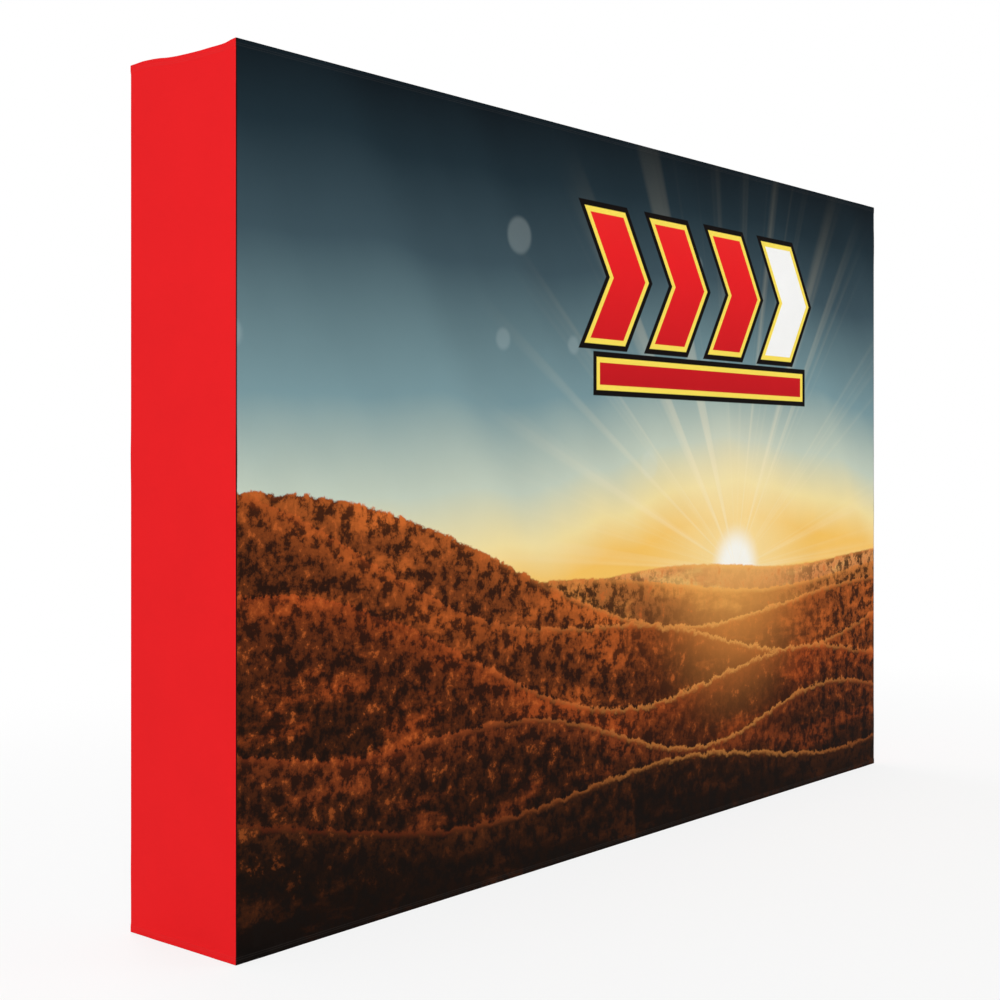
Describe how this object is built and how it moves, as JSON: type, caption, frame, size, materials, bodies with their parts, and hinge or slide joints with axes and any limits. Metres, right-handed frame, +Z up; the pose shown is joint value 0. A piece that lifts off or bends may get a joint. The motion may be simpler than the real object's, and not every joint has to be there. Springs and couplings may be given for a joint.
{
  "type": "pop-up fabric display",
  "caption": "Free-standing backdrop: a folding scissor lattice of hubs and crossed tubes under a stretched printed fabric that covers the front and wraps both ends.",
  "frame": {"origin": "on the floor, under the middle of the open display", "axes": "+X along the width, to the right seen from the printed front; +Y from the printed front to the open back; +Z up"},
  "size_m": [2.2766, 0.2866, 1.5418],
  "materials": {
    "printed_stretch_fabric": "matt printed polyester stretch knit",
    "black_moulded_plastic": "satin moulded nylon",
    "anodised_aluminium": "satin clear anodised"
  },
  "bodies": {
    "stand": {"front_hub_b1": "black_moulded_plastic", "fabric_graphic": "printed_stretch_fabric"},
    "tube_a1_rear_to_b1_front": {"tube_a1_rear_to_b1_front": "anodised_aluminium"},
    "tube_b1_front_to_c1_rear": {"tube_b1_front_to_c1_rear": "anodised_aluminium"},
    "tube_b1_front_to_b2_rear": {"tube_b1_front_to_b2_rear": "anodised_aluminium"},
    "rear_hub_a1": {"rear_hub_a1": "black_moulded_plastic"},
    "rear_hub_c1": {"rear_hub_c1": "black_moulded_plastic"},
    "rear_hub_b2": {"rear_hub_b2": "black_moulded_plastic"},
    "tube_a1_rear_to_a2_front": {"tube_a1_rear_to_a2_front": "anodised_aluminium"},
    "tube_c1_rear_to_d1_front": {"tube_c1_rear_to_d1_front": "anodised_aluminium"},
    "tube_c1_rear_to_c2_front": {"tube_c1_rear_to_c2_front": "anodised_aluminium"},
    "tube_a2_front_to_b2_rear": {"tube_a2_front_to_b2_rear": "anodised_aluminium"},
    "tube_b2_rear_to_c2_front": {"tube_b2_rear_to_c2_front": "anodised_aluminium"},
    "tube_b2_rear_to_b3_front": {"tube_b2_rear_to_b3_front": "anodised_aluminium"},
    "front_hub_a2": {"front_hub_a2": "black_moulded_plastic"},
    "front_hub_d1": {"front_hub_d1": "black_moulded_plastic"},
    "front_hub_c2": {"front_hub_c2": "black_moulded_plastic"},
    "front_hub_b3": {"front_hub_b3": "black_moulded_plastic"},
    "tube_a2_front_to_a3_rear": {"tube_a2_front_to_a3_rear": "anodised_aluminium"},
    "tube_d1_front_to_d2_rear": {"tube_d1_front_to_d2_rear": "anodised_aluminium"},
    "tube_c2_front_to_d2_rear": {"tube_c2_front_to_d2_rear": "anodised_aluminium"},
    "tube_c2_front_to_c3_rear": {"tube_c2_front_to_c3_rear": "anodised_aluminium"},
    "tube_a3_rear_to_b3_front": {"tube_a3_rear_to_b3_front": "anodised_aluminium"},
    "tube_b3_front_to_c3_rear": {"tube_b3_front_to_c3_rear": "anodised_aluminium"},
    "rear_hub_a3": {"rear_hub_a3": "black_moulded_plastic"},
    "rear_hub_d2": {"rear_hub_d2": "black_moulded_plastic"},
    "rear_hub_c3": {"rear_hub_c3": "black_moulded_plastic"},
    "tube_d2_rear_to_d3_front": {"tube_d2_rear_to_d3_front": "anodised_aluminium"},
    "tube_c3_rear_to_d3_front": {"tube_c3_rear_to_d3_front": "anodised_aluminium"},
    "front_hub_d3": {"front_hub_d3": "black_moulded_plastic"},
    "tube_a1_front_to_b1_rear": {"tube_a1_front_to_b1_rear": "anodised_aluminium"},
    "front_hub_a1": {"front_hub_a1": "black_moulded_plastic"},
    "rear_hub_b1": {"rear_hub_b1": "black_moulded_plastic"},
    "tube_a1_front_to_a2_rear": {"tube_a1_front_to_a2_rear": "anodised_aluminium"},
    "tube_b1_rear_to_c1_front": {"tube_b1_rear_to_c1_front": "anodised_aluminium"},
    "tube_b1_rear_to_b2_front": {"tube_b1_rear_to_b2_front": "anodised_aluminium"},
    "rear_hub_a2": {"rear_hub_a2": "black_moulded_plastic"},
    "front_hub_c1": {"front_hub_c1": "black_moulded_plastic"},
    "front_hub_b2": {"front_hub_b2": "black_moulded_plastic"},
    "tube_a2_rear_to_b2_front": {"tube_a2_rear_to_b2_front": "anodised_aluminium"},
    "tube_a2_rear_to_a3_front": {"tube_a2_rear_to_a3_front": "anodised_aluminium"},
    "tube_c1_front_to_d1_rear": {"tube_c1_front_to_d1_rear": "anodised_aluminium"},
    "tube_c1_front_to_c2_rear": {"tube_c1_front_to_c2_rear": "anodised_aluminium"},
    "tube_b2_front_to_c2_rear": {"tube_b2_front_to_c2_rear": "anodised_aluminium"},
    "tube_b2_front_to_b3_rear": {"tube_b2_front_to_b3_rear": "anodised_aluminium"},
    "front_hub_a3": {"front_hub_a3": "black_moulded_plastic"},
    "rear_hub_d1": {"rear_hub_d1": "black_moulded_plastic"},
    "rear_hub_c2": {"rear_hub_c2": "black_moulded_plastic"},
    "rear_hub_b3": {"rear_hub_b3": "black_moulded_plastic"},
    "tube_a3_front_to_b3_rear": {"tube_a3_front_to_b3_rear": "anodised_aluminium"},
    "tube_d1_rear_to_d2_front": {"tube_d1_rear_to_d2_front": "anodised_aluminium"},
    "tube_c2_rear_to_d2_front": {"tube_c2_rear_to_d2_front": "anodised_aluminium"},
    "tube_c2_rear_to_c3_front": {"tube_c2_rear_to_c3_front": "anodised_aluminium"},
    "tube_b3_rear_to_c3_front": {"tube_b3_rear_to_c3_front": "anodised_aluminium"},
    "front_hub_d2": {"front_hub_d2": "black_moulded_plastic"},
    "front_hub_c3": {"front_hub_c3": "black_moulded_plastic"},
    "tube_d2_front_to_d3_rear": {"tube_d2_front_to_d3_rear": "anodised_aluminium"},
    "tube_c3_front_to_d3_rear": {"tube_c3_front_to_d3_rear": "anodised_aluminium"},
    "rear_hub_d3": {"rear_hub_d3": "black_moulded_plastic"}
  },
  "joints": [
    {"name": "fold", "type": "hinge", "parent": "stand", "child": "tube_a1_rear_to_b1_front", "pos_m": [-0.389, -0.127, 0.0273], "axis": [0, 0, -1], "range_deg": [0, 67.5], "deforming": ["fabric_graphic"]},
    {"name": "pin_tube_b1_front_to_c1_rear", "type": "hinge", "parent": "stand", "child": "tube_b1_front_to_c1_rear", "pos_m": [-0.347, -0.127, 0.0387], "axis": [0, 0, 1], "range_deg": [0, 67.5]},
    {"name": "pin_tube_b1_front_to_b2_rear", "type": "hinge", "parent": "stand", "child": "tube_b1_front_to_b2_rear", "pos_m": [-0.3737, -0.127, 0.054], "axis": [-1, 0, 0], "range_deg": [0, 67.5]},
    {"name": "pin_rear_hub_a1", "type": "hinge", "parent": "tube_a1_rear_to_b1_front", "child": "rear_hub_a1", "pos_m": [-1.083, 0.127, 0.0273], "axis": [0, 0, 1], "range_deg": [0, 67.5]},
    {"name": "pin_rear_hub_c1", "type": "hinge", "parent": "tube_b1_front_to_c1_rear", "child": "rear_hub_c1", "pos_m": [0.347, 0.127, 0.0387], "axis": [0, 0, -1], "range_deg": [0, 67.5]},
    {"name": "pin_rear_hub_b2", "type": "hinge", "parent": "tube_b1_front_to_b2_rear", "child": "rear_hub_b2", "pos_m": [-0.3737, 0.127, 0.748], "axis": [1, 0, 0], "range_deg": [0, 67.5]},
    {"name": "pin_tube_a1_rear_to_a2_front", "type": "hinge", "parent": "rear_hub_a1", "child": "tube_a1_rear_to_a2_front", "pos_m": [-1.0983, 0.127, 0.054], "axis": [1, 0, 0], "range_deg": [0, 67.5]},
    {"name": "pin_tube_c1_rear_to_d1_front", "type": "hinge", "parent": "rear_hub_c1", "child": "tube_c1_rear_to_d1_front", "pos_m": [0.389, 0.127, 0.0273], "axis": [0, 0, -1], "range_deg": [0, 67.5]},
    {"name": "pin_tube_c1_rear_to_c2_front", "type": "hinge", "parent": "rear_hub_c1", "child": "tube_c1_rear_to_c2_front", "pos_m": [0.3737, 0.127, 0.054], "axis": [1, 0, 0], "range_deg": [0, 67.5]},
    {"name": "pin_tube_a2_front_to_b2_rear", "type": "hinge", "parent": "rear_hub_b2", "child": "tube_a2_front_to_b2_rear", "pos_m": [-0.389, 0.127, 0.7747], "axis": [0, 0, 1], "range_deg": [0, 67.5]},
    {"name": "pin_tube_b2_rear_to_c2_front", "type": "hinge", "parent": "rear_hub_b2", "child": "tube_b2_rear_to_c2_front", "pos_m": [-0.347, 0.127, 0.7633], "axis": [0, 0, -1], "range_deg": [0, 67.5]},
    {"name": "pin_tube_b2_rear_to_b3_front", "type": "hinge", "parent": "rear_hub_b2", "child": "tube_b2_rear_to_b3_front", "pos_m": [-0.3623, 0.127, 0.79], "axis": [1, 0, 0], "range_deg": [0, 67.5]},
    {"name": "pin_front_hub_a2", "type": "hinge", "parent": "tube_a1_rear_to_a2_front", "child": "front_hub_a2", "pos_m": [-1.0983, -0.127, 0.748], "axis": [-1, 0, 0], "range_deg": [0, 67.5]},
    {"name": "pin_front_hub_d1", "type": "hinge", "parent": "tube_c1_rear_to_d1_front", "child": "front_hub_d1", "pos_m": [1.083, -0.127, 0.0273], "axis": [0, 0, 1], "range_deg": [0, 67.5]},
    {"name": "pin_front_hub_c2", "type": "hinge", "parent": "tube_c1_rear_to_c2_front", "child": "front_hub_c2", "pos_m": [0.3737, -0.127, 0.748], "axis": [-1, 0, 0], "range_deg": [0, 67.5]},
    {"name": "pin_front_hub_b3", "type": "hinge", "parent": "tube_b2_rear_to_b3_front", "child": "front_hub_b3", "pos_m": [-0.3623, -0.127, 1.484], "axis": [-1, 0, 0], "range_deg": [0, 67.5]},
    {"name": "pin_tube_a2_front_to_a3_rear", "type": "hinge", "parent": "front_hub_a2", "child": "tube_a2_front_to_a3_rear", "pos_m": [-1.1097, -0.127, 0.79], "axis": [-1, 0, 0], "range_deg": [0, 67.5]},
    {"name": "pin_tube_d1_front_to_d2_rear", "type": "hinge", "parent": "front_hub_d1", "child": "tube_d1_front_to_d2_rear", "pos_m": [1.0983, -0.127, 0.054], "axis": [-1, 0, 0], "range_deg": [0, 67.5]},
    {"name": "pin_tube_c2_front_to_d2_rear", "type": "hinge", "parent": "front_hub_c2", "child": "tube_c2_front_to_d2_rear", "pos_m": [0.389, -0.127, 0.7747], "axis": [0, 0, 1], "range_deg": [0, 67.5]},
    {"name": "pin_tube_c2_front_to_c3_rear", "type": "hinge", "parent": "front_hub_c2", "child": "tube_c2_front_to_c3_rear", "pos_m": [0.3623, -0.127, 0.79], "axis": [-1, 0, 0], "range_deg": [0, 67.5]},
    {"name": "pin_tube_a3_rear_to_b3_front", "type": "hinge", "parent": "front_hub_b3", "child": "tube_a3_rear_to_b3_front", "pos_m": [-0.389, -0.127, 1.4993], "axis": [0, 0, -1], "range_deg": [0, 67.5]},
    {"name": "pin_tube_b3_front_to_c3_rear", "type": "hinge", "parent": "front_hub_b3", "child": "tube_b3_front_to_c3_rear", "pos_m": [-0.347, -0.127, 1.5107], "axis": [0, 0, 1], "range_deg": [0, 67.5]},
    {"name": "pin_rear_hub_a3", "type": "hinge", "parent": "tube_a2_front_to_a3_rear", "child": "rear_hub_a3", "pos_m": [-1.1097, 0.127, 1.484], "axis": [1, 0, 0], "range_deg": [0, 67.5]},
    {"name": "pin_rear_hub_d2", "type": "hinge", "parent": "tube_d1_front_to_d2_rear", "child": "rear_hub_d2", "pos_m": [1.0983, 0.127, 0.748], "axis": [1, 0, 0], "range_deg": [0, 67.5]},
    {"name": "pin_rear_hub_c3", "type": "hinge", "parent": "tube_c2_front_to_c3_rear", "child": "rear_hub_c3", "pos_m": [0.3623, 0.127, 1.484], "axis": [1, 0, 0], "range_deg": [0, 67.5]},
    {"name": "pin_tube_d2_rear_to_d3_front", "type": "hinge", "parent": "rear_hub_d2", "child": "tube_d2_rear_to_d3_front", "pos_m": [1.1097, 0.127, 0.79], "axis": [1, 0, 0], "range_deg": [0, 67.5]},
    {"name": "pin_tube_c3_rear_to_d3_front", "type": "hinge", "parent": "rear_hub_c3", "child": "tube_c3_rear_to_d3_front", "pos_m": [0.389, 0.127, 1.4993], "axis": [0, 0, -1], "range_deg": [0, 67.5]},
    {"name": "pin_front_hub_d3", "type": "hinge", "parent": "tube_d2_rear_to_d3_front", "child": "front_hub_d3", "pos_m": [1.1097, -0.127, 1.484], "axis": [-1, 0, 0], "range_deg": [0, 67.5]},
    {"name": "rivet_tube_a1_front_to_b1_rear", "type": "hinge", "parent": "tube_a1_rear_to_b1_front", "child": "tube_a1_front_to_b1_rear", "pos_m": [-0.736, 0, 0.0273], "axis": [0, 0, 1], "range_deg": [0, 135]},
    {"name": "pin_front_hub_a1", "type": "hinge", "parent": "tube_a1_front_to_b1_rear", "child": "front_hub_a1", "pos_m": [-1.083, -0.127, 0.0387], "axis": [0, 0, -1], "range_deg": [0, 67.5]},
    {"name": "pin_rear_hub_b1", "type": "hinge", "parent": "tube_a1_front_to_b1_rear", "child": "rear_hub_b1", "pos_m": [-0.389, 0.127, 0.0387], "axis": [0, 0, -1], "range_deg": [0, 67.5]},
    {"name": "pin_tube_a1_front_to_a2_rear", "type": "hinge", "parent": "front_hub_a1", "child": "tube_a1_front_to_a2_rear", "pos_m": [-1.1097, -0.127, 0.054], "axis": [-1, 0, 0], "range_deg": [0, 67.5]},
    {"name": "pin_tube_b1_rear_to_c1_front", "type": "hinge", "parent": "rear_hub_b1", "child": "tube_b1_rear_to_c1_front", "pos_m": [-0.347, 0.127, 0.0273], "axis": [0, 0, -1], "range_deg": [0, 67.5]},
    {"name": "pin_tube_b1_rear_to_b2_front", "type": "hinge", "parent": "rear_hub_b1", "child": "tube_b1_rear_to_b2_front", "pos_m": [-0.3623, 0.127, 0.054], "axis": [1, 0, 0], "range_deg": [0, 67.5]},
    {"name": "pin_rear_hub_a2", "type": "hinge", "parent": "tube_a1_front_to_a2_rear", "child": "rear_hub_a2", "pos_m": [-1.1097, 0.127, 0.748], "axis": [1, 0, 0], "range_deg": [0, 67.5]},
    {"name": "pin_front_hub_c1", "type": "hinge", "parent": "tube_b1_rear_to_c1_front", "child": "front_hub_c1", "pos_m": [0.347, -0.127, 0.0273], "axis": [0, 0, 1], "range_deg": [0, 67.5]},
    {"name": "pin_front_hub_b2", "type": "hinge", "parent": "tube_b1_rear_to_b2_front", "child": "front_hub_b2", "pos_m": [-0.3623, -0.127, 0.748], "axis": [-1, 0, 0], "range_deg": [0, 67.5]},
    {"name": "pin_tube_a2_rear_to_b2_front", "type": "hinge", "parent": "rear_hub_a2", "child": "tube_a2_rear_to_b2_front", "pos_m": [-1.083, 0.127, 0.7633], "axis": [0, 0, -1], "range_deg": [0, 67.5]},
    {"name": "pin_tube_a2_rear_to_a3_front", "type": "hinge", "parent": "rear_hub_a2", "child": "tube_a2_rear_to_a3_front", "pos_m": [-1.0983, 0.127, 0.79], "axis": [1, 0, 0], "range_deg": [0, 67.5]},
    {"name": "pin_tube_c1_front_to_d1_rear", "type": "hinge", "parent": "front_hub_c1", "child": "tube_c1_front_to_d1_rear", "pos_m": [0.389, -0.127, 0.0387], "axis": [0, 0, 1], "range_deg": [0, 67.5]},
    {"name": "pin_tube_c1_front_to_c2_rear", "type": "hinge", "parent": "front_hub_c1", "child": "tube_c1_front_to_c2_rear", "pos_m": [0.3623, -0.127, 0.054], "axis": [-1, 0, 0], "range_deg": [0, 67.5]},
    {"name": "pin_tube_b2_front_to_c2_rear", "type": "hinge", "parent": "front_hub_b2", "child": "tube_b2_front_to_c2_rear", "pos_m": [-0.347, -0.127, 0.7747], "axis": [0, 0, 1], "range_deg": [0, 67.5]},
    {"name": "pin_tube_b2_front_to_b3_rear", "type": "hinge", "parent": "front_hub_b2", "child": "tube_b2_front_to_b3_rear", "pos_m": [-0.3737, -0.127, 0.79], "axis": [-1, 0, 0], "range_deg": [0, 67.5]},
    {"name": "pin_front_hub_a3", "type": "hinge", "parent": "tube_a2_rear_to_a3_front", "child": "front_hub_a3", "pos_m": [-1.0983, -0.127, 1.484], "axis": [-1, 0, 0], "range_deg": [0, 67.5]},
    {"name": "pin_rear_hub_d1", "type": "hinge", "parent": "tube_c1_front_to_d1_rear", "child": "rear_hub_d1", "pos_m": [1.083, 0.127, 0.0387], "axis": [0, 0, -1], "range_deg": [0, 67.5]},
    {"name": "pin_rear_hub_c2", "type": "hinge", "parent": "tube_c1_front_to_c2_rear", "child": "rear_hub_c2", "pos_m": [0.3623, 0.127, 0.748], "axis": [1, 0, 0], "range_deg": [0, 67.5]},
    {"name": "pin_rear_hub_b3", "type": "hinge", "parent": "tube_b2_front_to_b3_rear", "child": "rear_hub_b3", "pos_m": [-0.3737, 0.127, 1.484], "axis": [1, 0, 0], "range_deg": [0, 67.5]},
    {"name": "pin_tube_a3_front_to_b3_rear", "type": "hinge", "parent": "front_hub_a3", "child": "tube_a3_front_to_b3_rear", "pos_m": [-1.083, -0.127, 1.5107], "axis": [0, 0, 1], "range_deg": [0, 67.5]},
    {"name": "pin_tube_d1_rear_to_d2_front", "type": "hinge", "parent": "rear_hub_d1", "child": "tube_d1_rear_to_d2_front", "pos_m": [1.1097, 0.127, 0.054], "axis": [1, 0, 0], "range_deg": [0, 67.5]},
    {"name": "pin_tube_c2_rear_to_d2_front", "type": "hinge", "parent": "rear_hub_c2", "child": "tube_c2_rear_to_d2_front", "pos_m": [0.389, 0.127, 0.7633], "axis": [0, 0, -1], "range_deg": [0, 67.5]},
    {"name": "pin_tube_c2_rear_to_c3_front", "type": "hinge", "parent": "rear_hub_c2", "child": "tube_c2_rear_to_c3_front", "pos_m": [0.3737, 0.127, 0.79], "axis": [1, 0, 0], "range_deg": [0, 67.5]},
    {"name": "pin_tube_b3_rear_to_c3_front", "type": "hinge", "parent": "rear_hub_b3", "child": "tube_b3_rear_to_c3_front", "pos_m": [-0.347, 0.127, 1.4993], "axis": [0, 0, -1], "range_deg": [0, 67.5]},
    {"name": "pin_front_hub_d2", "type": "hinge", "parent": "tube_d1_rear_to_d2_front", "child": "front_hub_d2", "pos_m": [1.1097, -0.127, 0.748], "axis": [-1, 0, 0], "range_deg": [0, 67.5]},
    {"name": "pin_front_hub_c3", "type": "hinge", "parent": "tube_c2_rear_to_c3_front", "child": "front_hub_c3", "pos_m": [0.3737, -0.127, 1.484], "axis": [-1, 0, 0], "range_deg": [0, 67.5]},
    {"name": "pin_tube_d2_front_to_d3_rear", "type": "hinge", "parent": "front_hub_d2", "child": "tube_d2_front_to_d3_rear", "pos_m": [1.0983, -0.127, 0.79], "axis": [-1, 0, 0], "range_deg": [0, 67.5]},
    {"name": "pin_tube_c3_front_to_d3_rear", "type": "hinge", "parent": "front_hub_c3", "child": "tube_c3_front_to_d3_rear", "pos_m": [0.389, -0.127, 1.5107], "axis": [0, 0, 1], "range_deg": [0, 67.5]},
    {"name": "pin_rear_hub_d3", "type": "hinge", "parent": "tube_d2_front_to_d3_rear", "child": "rear_hub_d3", "pos_m": [1.0983, 0.127, 1.484], "axis": [1, 0, 0], "range_deg": [0, 67.5]}
  ],
  "couplings": [
    {"joint": "pin_tube_b1_front_to_c1_rear", "follows": "fold", "ratio": 1},
    {"joint": "pin_tube_b1_front_to_b2_rear", "follows": "fold", "ratio": 1},
    {"joint": "pin_rear_hub_a1", "follows": "fold", "ratio": 1},
    {"joint": "pin_rear_hub_c1", "follows": "fold", "ratio": 1},
    {"joint": "pin_rear_hub_b2", "follows": "fold", "ratio": 1},
    {"joint": "pin_tube_a1_rear_to_a2_front", "follows": "fold", "ratio": 1},
    {"joint": "pin_tube_c1_rear_to_d1_front", "follows": "fold", "ratio": 1},
    {"joint": "pin_tube_c1_rear_to_c2_front", "follows": "fold", "ratio": 1},
    {"joint": "pin_tube_a2_front_to_b2_rear", "follows": "fold", "ratio": 1},
    {"joint": "pin_tube_b2_rear_to_c2_front", "follows": "fold", "ratio": 1},
    {"joint": "pin_tube_b2_rear_to_b3_front", "follows": "fold", "ratio": 1},
    {"joint": "pin_front_hub_a2", "follows": "fold", "ratio": 1},
    {"joint": "pin_front_hub_d1", "follows": "fold", "ratio": 1},
    {"joint": "pin_front_hub_c2", "follows": "fold", "ratio": 1},
    {"joint": "pin_front_hub_b3", "follows": "fold", "ratio": 1},
    {"joint": "pin_tube_a2_front_to_a3_rear", "follows": "fold", "ratio": 1},
    {"joint": "pin_tube_d1_front_to_d2_rear", "follows": "fold", "ratio": 1},
    {"joint": "pin_tube_c2_front_to_d2_rear", "follows": "fold", "ratio": 1},
    {"joint": "pin_tube_c2_front_to_c3_rear", "follows": "fold", "ratio": 1},
    {"joint": "pin_tube_a3_rear_to_b3_front", "follows": "fold", "ratio": 1},
    {"joint": "pin_tube_b3_front_to_c3_rear", "follows": "fold", "ratio": 1},
    {"joint": "pin_rear_hub_a3", "follows": "fold", "ratio": 1},
    {"joint": "pin_rear_hub_d2", "follows": "fold", "ratio": 1},
    {"joint": "pin_rear_hub_c3", "follows": "fold", "ratio": 1},
    {"joint": "pin_tube_d2_rear_to_d3_front", "follows": "fold", "ratio": 1},
    {"joint": "pin_tube_c3_rear_to_d3_front", "follows": "fold", "ratio": 1},
    {"joint": "pin_front_hub_d3", "follows": "fold", "ratio": 1},
    {"joint": "rivet_tube_a1_front_to_b1_rear", "follows": "fold", "ratio": 2},
    {"joint": "pin_front_hub_a1", "follows": "fold", "ratio": 1},
    {"joint": "pin_rear_hub_b1", "follows": "fold", "ratio": 1},
    {"joint": "pin_tube_a1_front_to_a2_rear", "follows": "fold", "ratio": 1},
    {"joint": "pin_tube_b1_rear_to_c1_front", "follows": "fold", "ratio": 1},
    {"joint": "pin_tube_b1_rear_to_b2_front", "follows": "fold", "ratio": 1},
    {"joint": "pin_rear_hub_a2", "follows": "fold", "ratio": 1},
    {"joint": "pin_front_hub_c1", "follows": "fold", "ratio": 1},
    {"joint": "pin_front_hub_b2", "follows": "fold", "ratio": 1},
    {"joint": "pin_tube_a2_rear_to_b2_front", "follows": "fold", "ratio": 1},
    {"joint": "pin_tube_a2_rear_to_a3_front", "follows": "fold", "ratio": 1},
    {"joint": "pin_tube_c1_front_to_d1_rear", "follows": "fold", "ratio": 1},
    {"joint": "pin_tube_c1_front_to_c2_rear", "follows": "fold", "ratio": 1},
    {"joint": "pin_tube_b2_front_to_c2_rear", "follows": "fold", "ratio": 1},
    {"joint": "pin_tube_b2_front_to_b3_rear", "follows": "fold", "ratio": 1},
    {"joint": "pin_front_hub_a3", "follows": "fold", "ratio": 1},
    {"joint": "pin_rear_hub_d1", "follows": "fold", "ratio": 1},
    {"joint": "pin_rear_hub_c2", "follows": "fold", "ratio": 1},
    {"joint": "pin_rear_hub_b3", "follows": "fold", "ratio": 1},
    {"joint": "pin_tube_a3_front_to_b3_rear", "follows": "fold", "ratio": 1},
    {"joint": "pin_tube_d1_rear_to_d2_front", "follows": "fold", "ratio": 1},
    {"joint": "pin_tube_c2_rear_to_d2_front", "follows": "fold", "ratio": 1},
    {"joint": "pin_tube_c2_rear_to_c3_front", "follows": "fold", "ratio": 1},
    {"joint": "pin_tube_b3_rear_to_c3_front", "follows": "fold", "ratio": 1},
    {"joint": "pin_front_hub_d2", "follows": "fold", "ratio": 1},
    {"joint": "pin_front_hub_c3", "follows": "fold", "ratio": 1},
    {"joint": "pin_tube_d2_front_to_d3_rear", "follows": "fold", "ratio": 1},
    {"joint": "pin_tube_c3_front_to_d3_rear", "follows": "fold", "ratio": 1},
    {"joint": "pin_rear_hub_d3", "follows": "fold", "ratio": 1}
  ]
}
